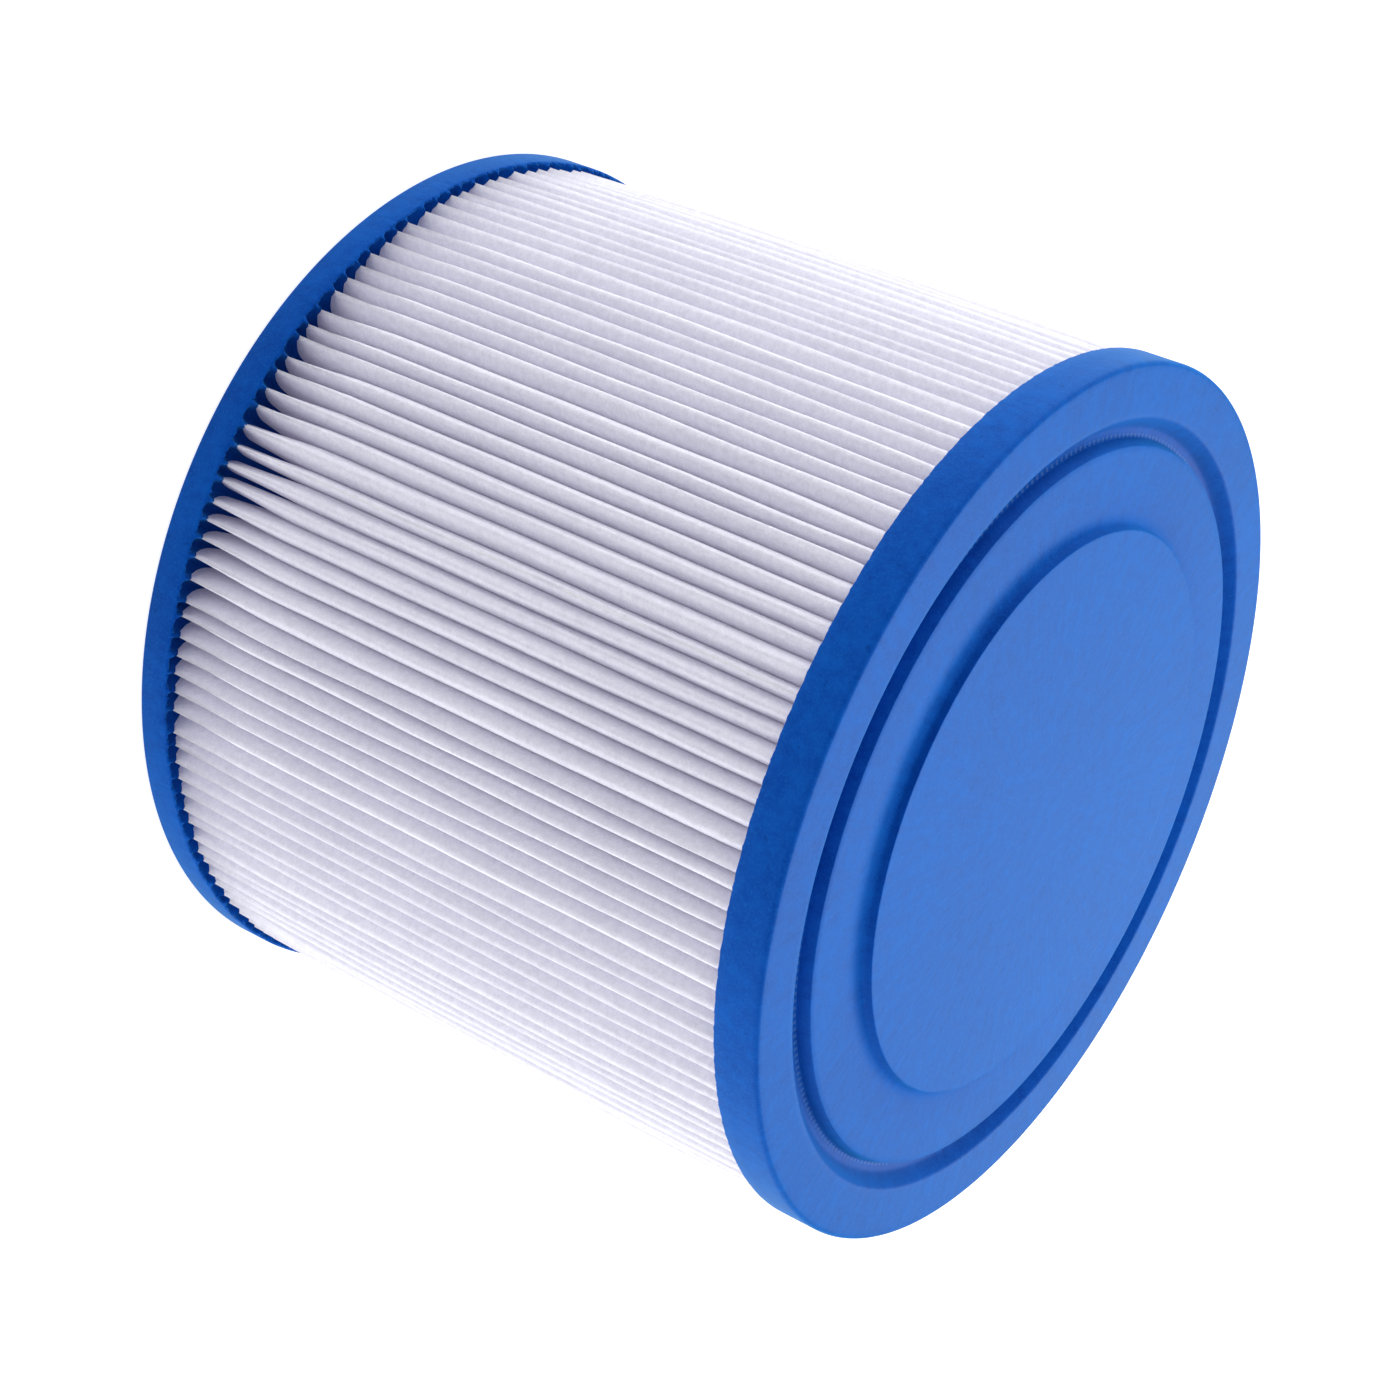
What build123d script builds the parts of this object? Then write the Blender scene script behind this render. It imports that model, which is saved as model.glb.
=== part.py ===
from build123d import *
import math
import os

# Spa filter cartridge: a ring of pleated polyester around a slotted centre core, with
# both ends potted into cast polyurethane caps. It stands on its open end.
# Millimetres. Origin: centre of the open end's face. +Z runs to the closed end.

# Whole cartridge
CAP_R = 76.2                 # both caps, 6 in across
LENGTH = 127.0               # open face to the closed cap's outer face, 5 in
CAP_EDGE = 0.4               # rounding of the caps' outer corners

# Caps
OPEN_CAP_T = 5.6             # rim height of the open cap
CLOSED_CAP_T = 8.0           # rim height of the closed cap
BORE_R = 38.1                # hole in the open cap, 3 in across
BORE_EDGE = 0.8              # rounding of the hole's mouth
BOSS_TOP_R = 49.0            # raised disc on the closed cap
BOSS_BASE_R = 51.2
BOSS_H = 1.9
BOSS_FILLET = 4.0            # where its sloped side runs out into the face
BOSS_EDGE = 0.15

# Ring groove that the mould's standing ring leaves in each cap's face
GROOVE_IN_R = 62.4
GROOVE_FLOOR_IN_R = 63.1
GROOVE_FLOOR_OUT_R = 64.1
GROOVE_OUT_R = 67.0
GROOVE_H = 2.4               # the pleat ends stand at this depth under each face

# Pleated media
PLEATS = 141
MEDIA_T = 0.5                # thickness of the polyester sheet
PLEAT_TIP_R = 75.2
PLEAT_ROOT_R = 42.4
TIP_BEND = 0.95              # bend radius at the sheet's mid-thickness
ROOT_BEND = 0.45
SEAM_ANGLE = -92.7           # degrees from +X, the pleat where the sheet's ends meet
SEAM_DEPTH = 7.0             # how far the adhesive reaches in between the two end legs

# Centre core
CORE_OUT_R = 42.0
CORE_WALL = 2.5
CORE_COLUMNS = 16
CORE_ROWS = 9
WINDOW_W = 11.2
WINDOW_H = 8.6

# Levels worked out from the sizes above
MEDIA_LOW = GROOVE_H
MEDIA_HIGH = LENGTH - GROOVE_H
CLOSED_INNER_Z = LENGTH - CLOSED_CAP_T
CORE_IN_R = CORE_OUT_R - CORE_WALL
HALF_PITCH = math.pi / PLEATS


def ring(outer_r, inner_r, low, high):
    """Plain ring about Z between two levels."""
    return Pos(0, 0, low) * extrude(Circle(outer_r) - Circle(inner_r), amount=high - low)


def turned(points, rounds=()):
    """Solid of revolution about Z from (radius, height) points, some corners rounded."""
    outline = make_face(Polyline(points, close=True))
    for corner, radius in rounds:
        nearest = outline.vertices().sort_by_distance(corner)[0]
        outline = fillet(nearest, radius)
    return revolve(Plane.XZ * outline, axis=Axis.Z)


def polar(x, y, angle):
    """Turn a point of the pleat that lies on the X axis round to its place in the ring."""
    c, s = math.cos(angle), math.sin(angle)
    return Vector(c * x - s * y, s * x + c * y)


def pleat_frame():
    """Bend centres of one pleat, and the unit normal of the leg that joins the bends."""
    tip_x = PLEAT_TIP_R - TIP_BEND - MEDIA_T / 2
    root_r = PLEAT_ROOT_R + ROOT_BEND + MEDIA_T / 2
    root = (root_r * math.cos(HALF_PITCH), root_r * math.sin(HALF_PITCH))
    run_x, run_y = root[0] - tip_x, root[1]
    run = math.hypot(run_x, run_y)
    along_x, along_y = run_x / run, run_y / run
    cos_b = (TIP_BEND + ROOT_BEND) / run
    sin_b = math.sqrt(1 - cos_b ** 2)
    normal = (cos_b * along_x + sin_b * along_y, cos_b * along_y - sin_b * along_x)
    return tip_x, root, normal


def leg_points(side):
    """Ends of the leg's face and the middles of its two bends, for side +1 out or -1 in."""
    tip_x, root, (nx, ny) = pleat_frame()
    tip_bend = TIP_BEND + side * MEDIA_T / 2
    root_bend = ROOT_BEND - side * MEDIA_T / 2
    tip = (tip_x + tip_bend * nx, tip_bend * ny)
    tip_mid = (tip_x + tip_bend, 0)
    foot = (root[0] - root_bend * nx, root[1] - root_bend * ny)
    foot_mid = (root[0] - root_bend * math.cos(HALF_PITCH),
                root[1] - root_bend * math.sin(HALF_PITCH))
    return tip, tip_mid, foot, foot_mid


def seam_corner(side, sign, depth=0.0):
    """Point on an end leg of the sheet, a given depth in from its raw edge."""
    tip, _, foot, _ = leg_points(side)
    share = depth / math.dist(tip, foot)
    x = tip[0] + share * (foot[0] - tip[0])
    y = tip[1] + share * (foot[1] - tip[1])
    return polar(x, sign * y, math.radians(SEAM_ANGLE))


def media_face_edges(side, depth=0.0):
    """One face of the folded sheet, from one end leg all round to the other."""
    tip, tip_mid, foot, foot_mid = leg_points(side)
    edges = []
    start = seam_corner(side, 1, depth)
    for i in range(PLEATS):
        here = math.radians(SEAM_ANGLE) + 2 * HALF_PITCH * i
        after = here + 2 * HALF_PITCH
        foot_in = polar(*foot, here)
        foot_out = polar(foot[0], -foot[1], after)
        edges.append(Edge.make_line(start, foot_in))
        edges.append(Edge.make_three_point_arc(foot_in, polar(*foot_mid, here), foot_out))
        if i == PLEATS - 1:
            edges.append(Edge.make_line(foot_out, seam_corner(side, -1, depth)))
            break
        tip_in = polar(tip[0], -tip[1], after)
        start = polar(*tip, after)
        edges.append(Edge.make_line(foot_out, tip_in))
        edges.append(Edge.make_three_point_arc(tip_in, polar(*tip_mid, after), start))
    return edges


def pleated_media():
    """The sheet: one long strip of polyester folded into a ring, its two ends left raw."""
    edges = media_face_edges(1) + media_face_edges(-1)
    edges.append(Edge.make_line(seam_corner(1, 1), seam_corner(-1, 1)))
    edges.append(Edge.make_line(seam_corner(1, -1), seam_corner(-1, -1)))
    strip = Face(Wire(edges))
    return extrude(Pos(0, 0, MEDIA_LOW) * strip, amount=MEDIA_HIGH - MEDIA_LOW)


def seam_adhesive():
    """Hot-melt strip between the sheet's two end legs, flush with their raw edges."""
    corners = [seam_corner(-1, 1), seam_corner(-1, -1),
               seam_corner(-1, -1, SEAM_DEPTH), seam_corner(-1, 1, SEAM_DEPTH)]
    strip = make_face(Polyline(corners, close=True))
    return extrude(Pos(0, 0, MEDIA_LOW) * strip, amount=MEDIA_HIGH - MEDIA_LOW)


def potting(low, high):
    """Polyurethane between the pleats: the part outside the sheet and the part inside it."""
    mouth = [seam_corner(1, -1), seam_corner(-1, -1), seam_corner(-1, 1), seam_corner(1, 1)]
    outer_edges = media_face_edges(1)
    outer_edges += [Edge.make_line(a, b) for a, b in zip(mouth, mouth[1:])]
    inner_edges = media_face_edges(-1, SEAM_DEPTH)
    inner_edges.append(Edge.make_line(seam_corner(-1, -1, SEAM_DEPTH),
                                      seam_corner(-1, 1, SEAM_DEPTH)))
    rim = Wire([Edge.make_circle(CAP_R)])
    core_line = Wire([Edge.make_circle(CORE_OUT_R)])
    outside = Face(rim, [Wire(outer_edges)])
    inside = Face(Wire(inner_edges), [core_line])
    return [extrude(Pos(0, 0, low) * face, amount=high - low) for face in (outside, inside)]


def closed_end_cap():
    """Cast disc with a ring groove and a raised centre, potted round pleats and core."""
    outer_corner = (CAP_R, LENGTH)
    boss_foot = (BOSS_BASE_R, LENGTH)
    boss_rim = (BOSS_TOP_R, LENGTH + BOSS_H)
    face = turned([
        (0, CLOSED_INNER_Z),
        (CORE_IN_R, CLOSED_INNER_Z),
        (CORE_IN_R, MEDIA_HIGH),
        (GROOVE_FLOOR_IN_R, MEDIA_HIGH),
        (GROOVE_IN_R, LENGTH),
        boss_foot,
        boss_rim,
        (0, LENGTH + BOSS_H),
    ], [(boss_foot, BOSS_FILLET), (boss_rim, BOSS_EDGE)])
    outer_face = turned([
        (GROOVE_FLOOR_OUT_R, MEDIA_HIGH),
        (CAP_R, MEDIA_HIGH),
        outer_corner,
        (GROOVE_OUT_R, LENGTH),
    ], [(outer_corner, CAP_EDGE)])
    return face + outer_face + potting(CLOSED_INNER_Z, MEDIA_HIGH)


def open_end_cap():
    """Cast ring with a round hole that leads into the core, and the same ring groove."""
    outer_corner = (CAP_R, 0)
    mouth = (BORE_R, 0)
    face = turned([
        mouth,
        (GROOVE_IN_R, 0),
        (GROOVE_FLOOR_IN_R, MEDIA_LOW),
        (CORE_IN_R, MEDIA_LOW),
        (CORE_IN_R, OPEN_CAP_T),
        (BORE_R, OPEN_CAP_T),
    ], [(mouth, BORE_EDGE)])
    outer_face = turned([
        (GROOVE_OUT_R, 0),
        outer_corner,
        (CAP_R, MEDIA_LOW),
        (GROOVE_FLOOR_OUT_R, MEDIA_LOW),
    ], [(outer_corner, CAP_EDGE)])
    return face + outer_face + potting(MEDIA_LOW, OPEN_CAP_T)


def centre_core():
    """Moulded tube that carries the pleats, pierced by rows of windows for the water."""
    pitch = (CLOSED_INNER_Z - OPEN_CAP_T) / CORE_ROWS
    row = ring(CORE_OUT_R, CORE_IN_R, 0, pitch)
    window = Pos(CORE_OUT_R, 0, pitch / 2) * Box(3 * CORE_WALL, WINDOW_W, WINDOW_H)
    row -= [Rot(0, 0, 360 * column / CORE_COLUMNS) * window for column in range(CORE_COLUMNS)]
    core = ring(CORE_OUT_R, CORE_IN_R, MEDIA_LOW, OPEN_CAP_T)
    core += [Pos(0, 0, OPEN_CAP_T + level * pitch) * row for level in range(CORE_ROWS)]
    return core + ring(CORE_OUT_R, CORE_IN_R, CLOSED_INNER_Z, MEDIA_HIGH)


os.makedirs("parts", exist_ok=True)
export_step(closed_end_cap(), "parts/closed_end_cap.step")
export_step(open_end_cap(), "parts/open_end_cap.step")
export_step(pleated_media(), "parts/pleated_media.step")
export_step(seam_adhesive(), "parts/seam_adhesive.step")
export_step(centre_core(), "parts/centre_core.step")
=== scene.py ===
import math

import bmesh
import bpy
import numpy as np
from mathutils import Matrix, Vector


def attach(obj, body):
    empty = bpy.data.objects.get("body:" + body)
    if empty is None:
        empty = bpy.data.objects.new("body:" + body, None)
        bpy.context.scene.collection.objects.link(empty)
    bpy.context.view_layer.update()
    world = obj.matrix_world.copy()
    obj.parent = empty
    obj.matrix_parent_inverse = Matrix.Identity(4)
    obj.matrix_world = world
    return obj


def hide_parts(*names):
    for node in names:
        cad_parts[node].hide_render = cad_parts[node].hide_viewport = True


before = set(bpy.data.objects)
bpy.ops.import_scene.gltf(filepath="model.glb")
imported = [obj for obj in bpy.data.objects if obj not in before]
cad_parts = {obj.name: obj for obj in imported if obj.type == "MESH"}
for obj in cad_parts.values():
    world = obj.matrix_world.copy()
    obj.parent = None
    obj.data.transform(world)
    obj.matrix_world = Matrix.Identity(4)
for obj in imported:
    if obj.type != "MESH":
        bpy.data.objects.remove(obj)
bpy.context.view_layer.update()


# ---- Centre core -------------------------------------------------------------------------------
# The core is an injection-moulded tube of white plastic with rows of windows. It stands inside the
# pleats to hold them against the suction, and both of its ends are cast into the end caps.


class Wire:
    """A socket of a node tree. Sums written with it add the Math nodes that work them out."""

    def __init__(self, tree, socket=None):
        self.tree = tree
        self.socket = socket

    def feed(self, node, sockets):
        """Gives the sockets of a node their values or their links."""
        for key, value in sockets.items():
            if isinstance(value, Wire):
                self.tree.links.new(value.socket, node.inputs[key])
            else:
                node.inputs[key].default_value = value

    def add(self, kind, settings=None, sockets=None, out=0):
        """Adds a node, its settings first and then its sockets. Returns one of its outputs."""
        node = self.tree.nodes.new(kind)
        for name, value in (settings or {}).items():
            setattr(node, name, value)
        self.feed(node, sockets or {})
        return Wire(self.tree, node.outputs[out])

    def math(self, operation, *values):
        return self.add("ShaderNodeMath", {"operation": operation}, dict(enumerate(values)))

    def __add__(self, other):
        return self.math("ADD", self, other)

    def __sub__(self, other):
        return self.math("SUBTRACT", self, other)

    def __mul__(self, other):
        return self.math("MULTIPLY", self, other)

    def __truediv__(self, other):
        return self.math("DIVIDE", self, other)

    def __mod__(self, other):
        return self.math("FLOORED_MODULO", self, other)

    def __lt__(self, other):
        return self.math("LESS_THAN", self, other)

    def __gt__(self, other):
        return self.math("GREATER_THAN", self, other)

    def __rsub__(self, other):
        return self.math("SUBTRACT", other, self)

    __radd__ = __add__
    __rmul__ = __mul__

    def rising(self, low, high):
        """0 below low and 1 above high, with a smooth rise between them."""
        ends = {"Value": self, "From Min": low, "From Max": high}
        return self.add("ShaderNodeMapRange", {"interpolation_type": "SMOOTHSTEP"}, ends)

    def colours(self, first, second):
        """The first colour where this is 0, the second where it is 1."""
        return self.add("ShaderNodeMix", {"data_type": "RGBA"}, {0: self, 6: first, 7: second}, out=2)

    def noise(self, place, scale, detail=2.0, roughness=0.5):
        """A cloudy pattern from 0 to 1, with this many clouds to the metre."""
        sockets = {"Vector": place, "Scale": scale, "Detail": detail, "Roughness": roughness}
        return self.add("ShaderNodeTexNoise", {}, sockets)

    def bump(self, height, distance, strength=1.0):
        """The normal of a surface with this height pattern on it, distance high in metres."""
        return self.add("ShaderNodeBump", {}, {"Height": height, "Distance": distance, "Strength": strength})


def finish(name, **fixed):
    """A new material: the material, its shader, its tree, and the place on the object."""
    material = bpy.data.materials.new(name)
    material.use_nodes = True
    shader = material.node_tree.nodes["Principled BSDF"]
    tree = Wire(material.node_tree)
    for socket, value in fixed.items():
        shader.inputs[socket.replace("_", " ")].default_value = value
    return material, shader, tree, tree.add("ShaderNodeTexCoord", out=3)


def moulded_plastic():
    """Translucent white moulding, faintly clouded, with a fine orange peel."""
    material, shader, tree, place = finish("core_plastic", IOR=1.49)
    cloud = tree.noise(place, 60, 3)
    peel = tree.noise(place, 2600, 2)
    colour = cloud.colours((0.70, 0.72, 0.74, 1), (0.80, 0.81, 0.82, 1))
    tree.feed(shader, {
        "Base Color": colour,
        "Roughness": cloud * 0.12 + 0.34,
        "Normal": tree.bump(peel, 0.00003),
    })
    return material


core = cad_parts["centre_core"]
core.data.materials.clear()
core.data.materials.append(moulded_plastic())


# ---- Pleated media -----------------------------------------------------------------------------
# One long strip of spunbonded polyester, folded into 141 pleats by heated rollers and bent round
# the core. Its two long edges are potted in the caps, which pinch the pleats at the open end.

PLEATS = 141
PLEAT_TURN = math.tau / PLEATS
SEAM_TURN = math.radians(-92.7)
SHEET_THICK = 0.0005
SHEET_LOW = 0.0024
SHEET_HIGH = 0.1246
LEAN = math.radians(1.6)         # how far the pleats lean over their height
UNEVEN = math.radians(0.2)       # how unevenly their tips are spaced
WAVE = math.radians(0.06)        # how far each tip wanders on its way up
TIP_RADIUS = 0.0751              # at the open end, before the swell
SWELL_RISE = 0.0026
SWELL_FALL = 0.0021
TIP_UNEVEN = 0.0001
TIP_WAVE = 0.00007
WELD = 1e-6                      # points nearer than this are one point


def sine(value):
    return value.math("SINE", value) if isinstance(value, Wire) else np.sin(value)


def tip_turn(tip, rise):
    """Where a pleat's tip stands round the axis: tip counts from the seam, rise is 0 to 1 upwards."""
    ring = tip % PLEATS
    own = sine(ring * 0.9 + 0.4) + sine(ring * 1.7 + 1.1) + sine(ring * 2.6)
    wave = sine(rise * 9 + ring * 3.1) + sine(rise * 21 + ring * 1.9)
    return tip * PLEAT_TURN + own * UNEVEN + wave * WAVE + (rise - 0.5) * LEAN + SEAM_TURN


def tip_radius(tip, rise):
    """How far a pleat's tip stands from the axis: most in the middle, least at the pinched end."""
    ring = tip % PLEATS
    wave = sine(ring * 2.3) * TIP_UNEVEN + sine(rise * 14 + ring * 2.2) * TIP_WAVE
    return rise * SWELL_RISE - rise * rise * SWELL_FALL + wave + TIP_RADIUS


def new_tree(name, sizes):
    """A Geometry Nodes tree with a named input for each size: the tree, and its inputs by name."""
    tree = bpy.data.node_groups.new(name, "GeometryNodeTree")
    tree.interface.new_socket("Geometry", in_out="OUTPUT", socket_type="NodeSocketGeometry")
    for label, value in sizes.items():
        kind = "NodeSocketInt" if isinstance(value, int) else "NodeSocketFloat"
        tree.interface.new_socket(label, in_out="INPUT", socket_type=kind)
    start = tree.nodes.new("NodeGroupInput")
    return tree, {label: Wire(tree, start.outputs[label]) for label in sizes}


def finish_tree(wire, material):
    """Ends a tree with smooth faces, its instances made real, and its material."""
    smooth = wire.add("GeometryNodeSetShadeSmooth", {}, {"Geometry": wire})
    real = wire.add("GeometryNodeRealizeInstances", {}, {"Geometry": smooth})
    painted = wire.add("GeometryNodeSetMaterial", {}, {"Geometry": real, "Material": material})
    end = wire.tree.nodes.new("NodeGroupOutput")
    wire.feed(end, {"Geometry": painted})


def grown(name, tree, sizes):
    """The plain mesh that a tree makes from these sizes, as a new object."""
    piece = bpy.data.objects.new(name, bpy.data.meshes.new(name))
    bpy.context.scene.collection.objects.link(piece)
    making = piece.modifiers.new("making", "NODES")
    making.node_group = tree
    for item in tree.interface.items_tree:
        if item.name in sizes:
            making[item.identifier] = sizes[item.name]
    graph = bpy.context.evaluated_depsgraph_get()
    mesh = bpy.data.meshes.new_from_object(piece.evaluated_get(graph))
    piece.modifiers.clear()
    piece.data = mesh
    return piece


def spunbond():
    """White spunbonded polyester: matt, with tangled fibres and fine creases. Its faint violet glow is
    painted light that lifts the shade between the pleats.
    """
    # The faint violet emission is painted light: a glow standing in for light through the thin sheet, which
    # brightens the shaded valleys between the pleats.
    material, shader, tree, place = finish(
        "polyester_media", Sheen_Weight=0.1, Sheen_Roughness=0.6,
        Emission_Color=(0.59, 0.55, 0.76, 1), Emission_Strength=0.07)
    fibres = tree.noise(place, 2200, 4, 0.7)
    flecks = tree.noise(place, 800, 2)
    clouds = tree.noise(place, 45, 3)
    shade = fibres * 0.5 + flecks * 0.35 + clouds * 0.15
    tree.feed(shader, {
        "Base Color": shade.rising(0.3, 0.7).colours((0.65, 0.643, 0.72, 1), (0.79, 0.785, 0.85, 1)),
        "Roughness": fibres * 0.2 + 0.72,
        "Normal": tree.bump(fibres * 0.8 + flecks, 0.00016, 0.7),
    })
    return material


MEDIA_SIZES = {
    "Pleats": PLEATS,
    "Rows": 28,
    "Sheet low": SHEET_LOW,
    "Sheet high": SHEET_HIGH,
    "Root radius": 0.0426,
    "Root bend": 0.0005,
    "Root width": 0.55,
    "Arch width": 0.975,
    "Arch height": 0.0028,
    "Shoulder": 0.0004,
    "Pinched width": 0.64,
    "Pinched height": 0.0054,
    "Pinch ends": 0.0240,
    "Seam gap": 0.05,
    "Seam opens": 0.0120,
}
STEPS = 12                       # steps of the grid to each pleat
ARC_STEPS = 4                    # steps from the middle of a pleat's tip to the end of its arch
CROWDING = 0.6                   # how closely the rows crowd towards the two potted edges
BLUNT = 0.6                      # how much rounder the tips get where the pinch ends
WRINKLE = 0.00008                # by the closed cap
SEAM_SHIFT = 0.12                # how far the gaps beside the seam's pleat move towards it


def media_tree(material):
    """Folds a flat grid into the ring of pleats, and joins the sheet's two ends."""
    tree, size = new_tree("fold_media", MEDIA_SIZES)
    columns = size["Pleats"] * STEPS
    rows = size["Rows"]
    w = Wire(tree)
    grid = w.add("GeometryNodeMeshGrid", {}, {
        "Size X": columns, "Size Y": 1.0, "Vertices X": columns + 1, "Vertices Y": rows + 1})
    flat = w.add("GeometryNodeInputPosition")
    column = w.add("ShaderNodeSeparateXYZ", {}, {0: flat}, out=0)
    along = w.add("ShaderNodeSeparateXYZ", {}, {0: flat}, out=1) + 0.5
    rise = along - sine(along * math.tau) * (CROWDING / math.tau)
    height = rise * (size["Sheet high"] - size["Sheet low"]) + size["Sheet low"]

    step = w.math("ROUND", column + columns * 0.5)
    pleat = w.math("MINIMUM", w.math("FLOOR", step / STEPS), size["Pleats"] - 1)
    place = step - pleat * STEPS
    past = place > STEPS / 2
    tip = pleat + past
    side = 1 - past * 2
    down = STEPS / 2 - w.math("ABSOLUTE", place - STEPS / 2)
    leg = w.add("ShaderNodeClamp", {}, {"Value": down - ARC_STEPS})
    bend = w.add("ShaderNodeClamp", {}, {"Value": down - (ARC_STEPS + 1)})
    arc = w.math("MINIMUM", down, ARC_STEPS) * (math.pi / 2 / ARC_STEPS)
    seam = (tip % PLEATS) < 0.5

    open_out = height.rising(SHEET_LOW, size["Pinch ends"])
    arch_width = size["Pinched width"] + (size["Arch width"] - size["Pinched width"]) * open_out
    arch_height = size["Pinched height"] + (size["Arch height"] - size["Pinched height"]) * open_out
    wrinkle = sine(rise * 60 + tip % PLEATS * 5) * rise.rising(0.85, 0.97) * WRINKLE
    crest = tip_radius(tip, rise) + wrinkle
    across = sine(arc)
    blunt = open_out * BLUNT + (1 - BLUNT)
    shoulder = size["Shoulder"] * (down > ARC_STEPS - 0.5)
    near_down = arch_height * across * (across * blunt + 1 - blunt) + shoulder
    ajar = height.rising(size["Seam opens"], size["Pinch ends"]) * size["Seam gap"] * seam
    near_width = arch_width * (across + ajar * (1 - across))

    tip_at = tip_turn(tip, rise)
    middle = (pleat > PLEATS - 1.5) * SEAM_SHIFT - (pleat < 0.5) * SEAM_SHIFT + 0.5
    gap_at = tip_turn(pleat, rise) * (1 - middle) + tip_turn(pleat + 1, rise) * middle
    root_at = (pleat + 0.5) * PLEAT_TURN + (rise - 0.5) * LEAN + SEAM_TURN
    near_at = tip_at + (gap_at - tip_at) * near_width
    leg_at = root_at - side * (1 - bend) * (1 - size["Root width"]) * (PLEAT_TURN / 2)
    turn = near_at + (leg_at - near_at) * leg
    leg_down = crest - size["Root radius"] - size["Root bend"] * (1 - bend)
    radius = crest - near_down - (leg_down - near_down) * leg

    bent = w.add("ShaderNodeCombineXYZ", {}, {
        0: radius * w.math("COSINE", turn), 1: radius * sine(turn), 2: height})
    folded = w.add("GeometryNodeSetPosition", {}, {"Geometry": grid, "Position": bent})
    glued = w.add("GeometryNodeMergeByDistance", {}, {"Geometry": folded, "Distance": WELD})
    finish_tree(glued, material)
    return tree


media = grown("media_pleats", media_tree(spunbond()), MEDIA_SIZES)
wall = media.modifiers.new("sheet", "SOLIDIFY")
wall.thickness = SHEET_THICK
wall.offset = -1
wall.thickness_clamp = 1.0
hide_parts("pleated_media")
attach(media, "root")


# ---- Seam adhesive -----------------------------------------------------------------------------
# Hot melt laid between the two ends of the strip, which are pressed together to close the ring.
# It is off-white and waxy, and its wavy outer edge lies about level with the tip of its pleat.

BEAD_HALF = 0.00014
BEAD_INNER = 0.0685
BEAD_ROWS = 60
BEAD_ARC_STEPS = 6
BEAD_TRIM = 0.0001               # how far it stops short of the strip's edges and of the tip
BEAD_DIP = 0.0009                # how far it drops back where it enters the open cap
BEAD_DIP_SHARE = 0.12            # over this share of its height


def new_piece(name, points, faces, material, crisp=40):
    """A piece from points and faces, smooth but for its edges sharper than crisp degrees."""
    mesh = bpy.data.meshes.new(name)
    mesh.from_pydata([tuple(point) for point in points], [], faces)
    shape = bmesh.new()
    shape.from_mesh(mesh)
    bmesh.ops.remove_doubles(shape, verts=shape.verts, dist=WELD)
    bmesh.ops.recalc_face_normals(shape, faces=shape.faces)
    shape.to_mesh(mesh)
    shape.free()
    mesh.shade_smooth()
    mesh.set_sharp_from_angle(angle=math.radians(crisp))
    mesh.materials.append(material)
    piece = bpy.data.objects.new(name, mesh)
    bpy.context.scene.collection.objects.link(piece)
    return piece


def waxy_melt():
    """Set hot melt: off-white, smooth and a little clouded."""
    material, shader, tree, place = finish("hot_melt", IOR=1.48)
    cloud = tree.noise(place, 220, 3)
    tree.feed(shader, {
        "Base Color": cloud.colours((0.64, 0.64, 0.67, 1), (0.78, 0.78, 0.80, 1)),
        "Roughness": cloud * 0.2 + 0.35,
        "Normal": tree.bump(cloud, 0.0002),
    })
    return material


def seam_bead():
    """A thin upright bar with a rounded, wavy outer edge, which follows the seam's lean."""
    points, faces = [], []
    for row in range(BEAD_ROWS + 1):
        rise = row / BEAD_ROWS
        height = SHEET_LOW + BEAD_TRIM + rise * (SHEET_HIGH - SHEET_LOW - 2 * BEAD_TRIM)
        dip = BEAD_DIP * max(0.0, 1 - rise / BEAD_DIP_SHARE)
        waves = 0.00006 * math.sin(rise * 31) + 0.00004 * math.sin(rise * 73)
        proud = tip_radius(0, rise) - dip + waves - BEAD_TRIM
        turn = tip_turn(0, rise)
        section = [(BEAD_INNER, -BEAD_HALF), (BEAD_INNER, BEAD_HALF)]
        for n in range(BEAD_ARC_STEPS + 1):
            lean = math.pi * n / BEAD_ARC_STEPS
            section.append((proud + BEAD_HALF * math.sin(lean), BEAD_HALF * math.cos(lean)))
        for reach, aside in section:
            points.append((
                reach * math.cos(turn) - aside * math.sin(turn),
                reach * math.sin(turn) + aside * math.cos(turn),
                height))
    ring = BEAD_ARC_STEPS + 3
    for row in range(BEAD_ROWS):
        for n in range(ring):
            a, b = row * ring + n, row * ring + (n + 1) % ring
            faces.append((a, b, b + ring, a + ring))
    faces.append(tuple(range(ring)))
    faces.append(tuple(range(BEAD_ROWS * ring, (BEAD_ROWS + 1) * ring)))
    return new_piece("seam_bead", points, faces, waxy_melt())


seam = seam_bead()
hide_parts("seam_adhesive")
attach(seam, "root")


# ---- Closed end cap ----------------------------------------------------------------------------
# Blue polyurethane, poured into an open mould round the pleats' ends and the core, where it sets.
# The mould's ring gives it the groove, in which the ends of the pleats show, and the raised disc.

CAP_RADIUS = 0.0762
CLOSED_FACE = 0.127
CLOSED_RIM = 0.119
RIM_EDGE = 0.0009
BOSS_HIGH = 0.1289
BOSS_TOP = 0.0490
BOSS_FOOT = 0.0516
BOSS_EDGE = 0.00015
FOOT_HIGH = 0.0009
FOOT_STEPS = 8
GROOVE_INNER = 0.0624
GROOVE_FLOOR = (0.0631, 0.0641)
GROOVE_OUTER = 0.0670
GROOVE_DEEP = 0.0024
POTTED = 8                       # steps round the cap from one pleat's tip to the next
CUSP = 0.7                       # under 1, so the cast material rises in narrow points at the tips


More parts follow.
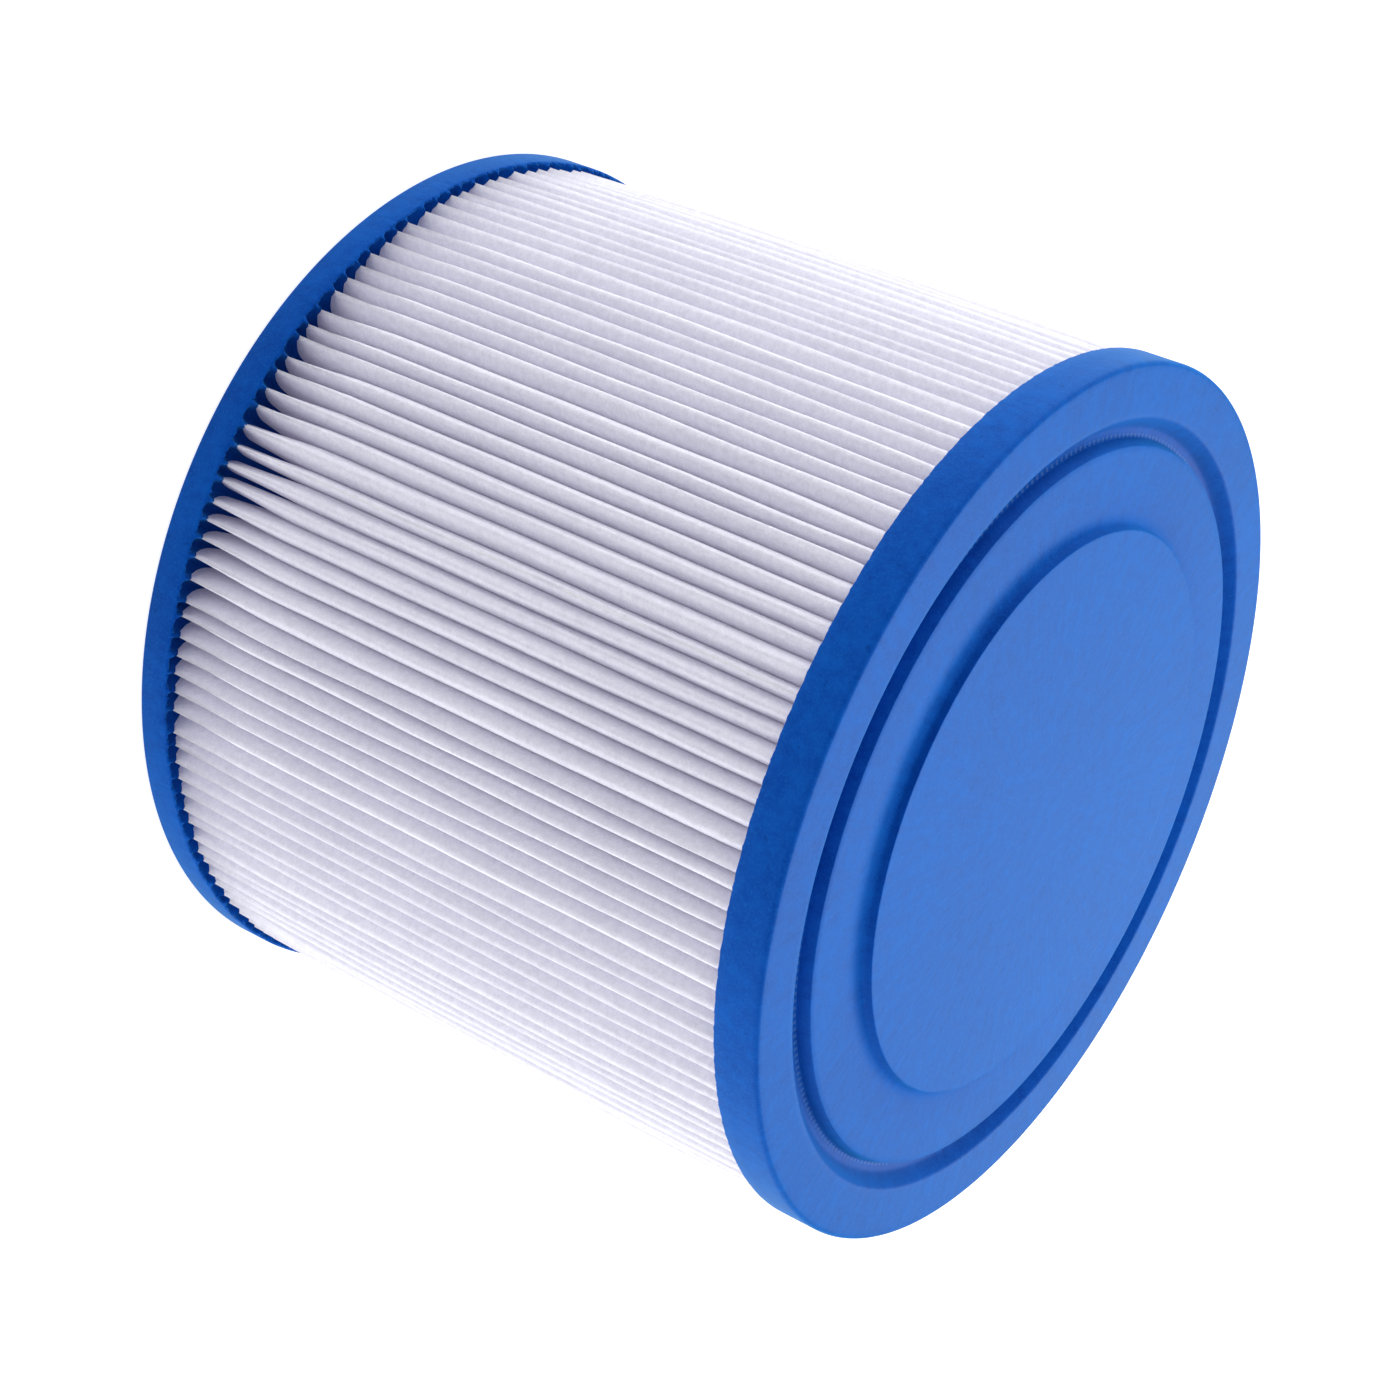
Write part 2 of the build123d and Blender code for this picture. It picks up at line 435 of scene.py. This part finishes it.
def cast_polyurethane():
    """Blue cast polyurethane: satin, faintly clouded, with specks, and fine marks of the mould."""
    material, shader, tree, place = finish("cast_polyurethane", IOR=1.5, Specular_IOR_Level=0.1,
        Specular_Tint=(0.05, 0.4, 1, 1), Sheen_Weight=0.22, Sheen_Roughness=0.5,
        Sheen_Tint=(0.1, 0.8, 1, 1))
    x, y, z = (tree.add("ShaderNodeSeparateXYZ", {}, {0: place}, out=n) for n in range(3))
    spread = tree.math("SQRT", x * x + y * y)
    turn = tree.math("ARCTAN2", y, x)
    radial = tree.add("ShaderNodeCombineXYZ", {}, {0: turn * 40, 1: spread * 90, 2: z * 300})
    clouds = tree.noise(place, 26, 4, 0.6)
    mottle = tree.noise(place, 420, 4, 0.7)
    grain = tree.noise(place, 2400, 2, 0.6)
    streaks = (tree.noise(radial, 1, 3, 0.6) - 0.5) * spread.rising(0.004, 0.02) + 0.5
    speck = tree.noise(place, 900, 0).rising(0.79, 0.82)
    in_groove = (spread > GROOVE_FLOOR[0]) * (spread < GROOVE_FLOOR[1] - 0.0003)
    skin = in_groove * (z > SHEET_HIGH - 0.0002) * (z < SHEET_HIGH + 0.0004)
    ends = skin * sine(turn * PLEATS * 2).rising(-0.2, 0.7)
    shade = clouds * 0.35 + mottle * 0.4 + streaks * 0.25
    blue = shade.rising(0.3, 0.7).colours((0.001, 0.040, 0.29, 1), (0.003, 0.082, 0.43, 1))
    blue = (grain.rising(0.45, 0.72) * 0.5).colours(blue, (0.006, 0.096, 0.43, 1))
    blue = (ends * 0.5).colours(blue, (0.10, 0.20, 0.42, 1))
    tree.feed(shader, {
        "Base Color": (speck * 0.4).colours(blue, (0.001, 0.03, 0.20, 1)),
        "Roughness": shade * 0.2 + 0.5,
        "Normal": tree.bump(grain * 0.3 + mottle + streaks, 0.00006, 0.8),
    })
    return material


def arc_points(centre, size, start, end, steps=6):
    """Points (radius, height) on an arc about a centre, from one angle to another in degrees."""
    turns = [math.radians(start + (end - start) * n / steps) for n in range(steps + 1)]
    return [(centre[0] + size * math.cos(t), centre[1] + size * math.sin(t)) for t in turns]


def cap_groove(face, up):
    """The ring groove in a cap's flat face, from its outer edge inwards, with soft edges."""
    floor = face - up * GROOVE_DEEP
    return [
        (GROOVE_OUTER + 0.0012, face),
        (GROOVE_OUTER + 0.0003, face),
        (GROOVE_OUTER, face - up * 0.00007),
        (GROOVE_OUTER - 0.0003, face - up * 0.00035),
        (GROOVE_OUTER - 0.0011, face - up * 0.00120),
        (GROOVE_OUTER - 0.0019, face - up * 0.00195),
        (GROOVE_FLOOR[1] + 0.0006, floor + up * 0.00022),
        (GROOVE_FLOOR[1] + 0.0001, floor + up * 0.00010),
        (GROOVE_FLOOR[1] - 0.0004, floor + up * 0.00006),
        (GROOVE_FLOOR[0] + 0.0002, floor + up * 0.00006),
        (GROOVE_FLOOR[0] - 0.0001, floor + up * 0.00025),
        (GROOVE_INNER + 0.0001, face - up * 0.00035),
        (GROOVE_INNER - 0.0001, face - up * 0.00008),
        (GROOVE_INNER - 0.0004, face),
        (GROOVE_INNER - 0.0012, face),
    ]


def turned_cap(name, outline, rise, material):
    """Turns rows of (radius, height between pleats, height on them, raggedness) about the axis."""
    points, faces = [], []
    columns = PLEATS * POTTED
    for row, (radius, low, high, ragged) in enumerate(outline):
        for column in range(columns):
            tip, share = divmod(column, POTTED)
            share = share / POTTED
            turn = tip_turn(tip, rise) * (1 - share) + tip_turn(tip + 1, rise) * share
            cusp = 1 - math.sin(math.pi * share) ** CUSP
            rough = math.sin(column * 1.31 + row) + math.sin(column * 2.77) + math.sin(column * 0.37)
            tear = ragged * rough
            reach = radius - abs(tear)
            height = low + (high - low) * cusp + tear
            points.append((reach * math.cos(turn), reach * math.sin(turn), height))
    for row in range(len(outline)):
        below = (row + 1) % len(outline)
        for column in range(columns):
            beside = (column + 1) % columns
            faces.append((
                row * columns + column, row * columns + beside,
                below * columns + beside, below * columns + column))
    return new_piece(name, points, faces, material, crisp=32)


def plain(outline):
    """Rows that are the same all the way round."""
    return [(radius, height, height, 0) for radius, height in outline]


def potted(rim, rows):
    """Rows of a cap's inner face, with their heights measured from the rim's edge."""
    return [(radius, rim + low, rim + high, ragged) for radius, low, high, ragged in rows]


def closed_cap(material):
    """The closed cap, from the middle of its boss outwards, down the rim and back in below."""
    top = [(radius, BOSS_HIGH) for radius in (1e-7, 0.020, BOSS_TOP - 0.0015, BOSS_TOP - 0.0005)]
    top += arc_points((BOSS_TOP - BOSS_EDGE, BOSS_HIGH - BOSS_EDGE), BOSS_EDGE, 90, 0, 3)
    top += [(BOSS_TOP + 0.0001, CLOSED_FACE + FOOT_HIGH)]
    for n in range(1, FOOT_STEPS):
        fall = math.radians(n * 90 / FOOT_STEPS)
        top.append((
            BOSS_FOOT - (BOSS_FOOT - BOSS_TOP - 0.0001) * math.cos(fall),
            CLOSED_FACE + FOOT_HIGH * (1 - math.sin(fall))))
    top += [(BOSS_FOOT, CLOSED_FACE), (BOSS_FOOT + 0.0012, CLOSED_FACE)]
    top += cap_groove(CLOSED_FACE, 1)[::-1]
    top += [(CAP_RADIUS - 2 * RIM_EDGE, CLOSED_FACE)]
    top += arc_points((CAP_RADIUS - RIM_EDGE, CLOSED_FACE - RIM_EDGE), RIM_EDGE, 90, 0)
    top += [(CAP_RADIUS, 0.1245), (CAP_RADIUS, 0.1215), (CAP_RADIUS, CLOSED_RIM + 0.0004)]
    below = potted(CLOSED_RIM, [
        (CAP_RADIUS - 0.0001, 0.0001, 0.0, 0.00002),
        (0.0759, 0.0, -0.0001, 0.00003),
        (0.0753, 0.0002, -0.0001, 0),
        (0.0740, 0.0008, -0.0007, 0),
        (0.0700, 0.0008, -0.0006, 0),
        (0.0640, 0.0008, 0.0, 0),
        (0.0430, 0.0004, 0.0004, 0),
        (0.0395, 0.0, 0.0, 0),
        (1e-7, 0.0, 0.0, 0),
    ])
    return turned_cap("cap_closed", plain(top) + below, 0.955, material)


polyurethane = cast_polyurethane()
closed = closed_cap(polyurethane)
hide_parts("closed_end_cap")
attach(closed, "root")


# ---- Open end cap ------------------------------------------------------------------------------
# Cast the same way in a shallower mould, with the hole that slides over the spa's fitting. Between
# the pleats the polyurethane sets in hollows, and it has crept up each pleat's tip in a cusp.

BORE = 0.0381
BORE_EDGE = 0.0008
OPEN_THICK = 0.0056
OPEN_EDGE = 0.0004

def open_cap(material):
    """The open cap, from the bore's upper edge down, out across its face, up the rim and back in."""
    under = [(BORE + 0.0002, OPEN_THICK), (BORE, OPEN_THICK - 0.0002), (BORE, 0.003)]
    under += arc_points((BORE + BORE_EDGE, BORE_EDGE), BORE_EDGE, 180, 270)
    under += [(0.050, 0.0)]
    under += cap_groove(0.0, -1)[::-1]
    under += arc_points((CAP_RADIUS - OPEN_EDGE, OPEN_EDGE), OPEN_EDGE, -90, 0)
    under += [(CAP_RADIUS, 0.0025), (CAP_RADIUS, OPEN_THICK - 0.0003)]
    above = potted(OPEN_THICK, [
        (CAP_RADIUS - 0.00005, -0.00008, 0.0, 0.00004),
        (CAP_RADIUS - 0.0002, 0.00005, 0.0001, 0.00008),
        (0.0758, -0.0001, 0.0003, 0.00011),
        (0.0755, -0.0006, 0.0007, 0.00009),
        (0.0751, -0.0012, 0.0010, 0.00006),
        (0.0745, -0.0016, 0.0012, 0),
        (0.0735, -0.0018, 0.0013, 0),
        (0.0720, -0.0018, 0.0012, 0),
        (0.0700, -0.0017, 0.0010, 0),
        (0.0660, -0.0014, 0.0006, 0),
        (0.0600, -0.0010, 0.0, 0),
        (0.0440, -0.0010, -0.0006, 0),
        (0.0424, -0.0006, -0.0004, 0),
        (0.0395, 0.0, 0.0, 0),
    ])
    return turned_cap("cap_open", plain(under) + above, 0.03, material)


opened = open_cap(polyurethane)
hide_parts("open_end_cap")
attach(opened, "root")


# ---- Studio ------------------------------------------------------------------------------------
# A plain white board that glows a little, so no shadow darkens it. Soft lights stand overhead and
# low at both sides, where they graze the pleats, and one behind gives the cap's face its sheen.

FLOOR_REACH = 6.0
MIDDLE = (0, 0, 0.063)
LIGHTS = {
    "overhead": {"place": (0, 0.2, 1.5), "size": 1.6, "watts": 15},
    "left": {"place": (-0.75, -0.04, 0.15), "size": 1.0, "watts": 7.8},
    "right": {"place": (0.75, -0.04, 0.15), "size": 1.0, "watts": 7.8},
    "behind": {"place": (0, 1.2, 0.95), "size": 0.8, "watts": 15},
}
SKY = (0.72, 0.74, 1.0, 1)
SKY_STRENGTH = 0.16
CAMERA_PLACE = (0, -0.46306, 0.32506)
CAMERA_TURN = (-34.821, -52.940, 130.486)


def white_floor():
    """Matt white board, barely clouded."""
    material, shader, tree, place = finish(
        "white_floor", Specular_IOR_Level=0.1, Emission_Color=(1, 1, 1, 1), Emission_Strength=0.75)
    cloud = tree.noise(place, 3, 2)
    tree.feed(shader, {
        "Base Color": cloud.colours((0.48, 0.48, 0.48, 1), (0.50, 0.50, 0.50, 1)),
        "Roughness": cloud * 0.1 + 0.85,
    })
    return material


def soft_light(name, place, size, watts):
    """A round soft light that faces the middle of the cartridge."""
    lamp = bpy.data.lights.new(name, "AREA")
    lamp.shape = "DISK"
    lamp.size = size
    lamp.energy = watts
    light = bpy.data.objects.new(name, lamp)
    light.location = place
    away = Vector(place) - Vector(MIDDLE)
    light.rotation_euler = away.to_track_quat("Z", "Y").to_euler()
    bpy.context.scene.collection.objects.link(light)


corners = [(-1, -1), (1, -1), (1, 1), (-1, 1)]
floor_mesh = bpy.data.meshes.new("floor")
floor_mesh.from_pydata([(x * FLOOR_REACH, y * FLOOR_REACH, 0) for x, y in corners], [], [(0, 1, 2, 3)])
floor_mesh.materials.append(white_floor())
floor = bpy.data.objects.new("floor", floor_mesh)
bpy.context.scene.collection.objects.link(floor)

for name, light in LIGHTS.items():
    soft_light(name, light["place"], light["size"], light["watts"])

world = bpy.data.worlds.new("studio")
world.use_nodes = True
world.node_tree.nodes["Background"].inputs["Color"].default_value = SKY
world.node_tree.nodes["Background"].inputs["Strength"].default_value = SKY_STRENGTH
bpy.context.scene.world = world
bpy.context.scene.view_settings.view_transform = "Standard"

lens = bpy.data.cameras.new("camera")
lens.lens = 78.85
lens.sensor_width = 36
lens.clip_start = 0.01
camera = bpy.data.objects.new("camera", lens)
camera.location = CAMERA_PLACE
camera.rotation_euler = [math.radians(angle) for angle in CAMERA_TURN]
bpy.context.scene.collection.objects.link(camera)
bpy.context.scene.camera = camera
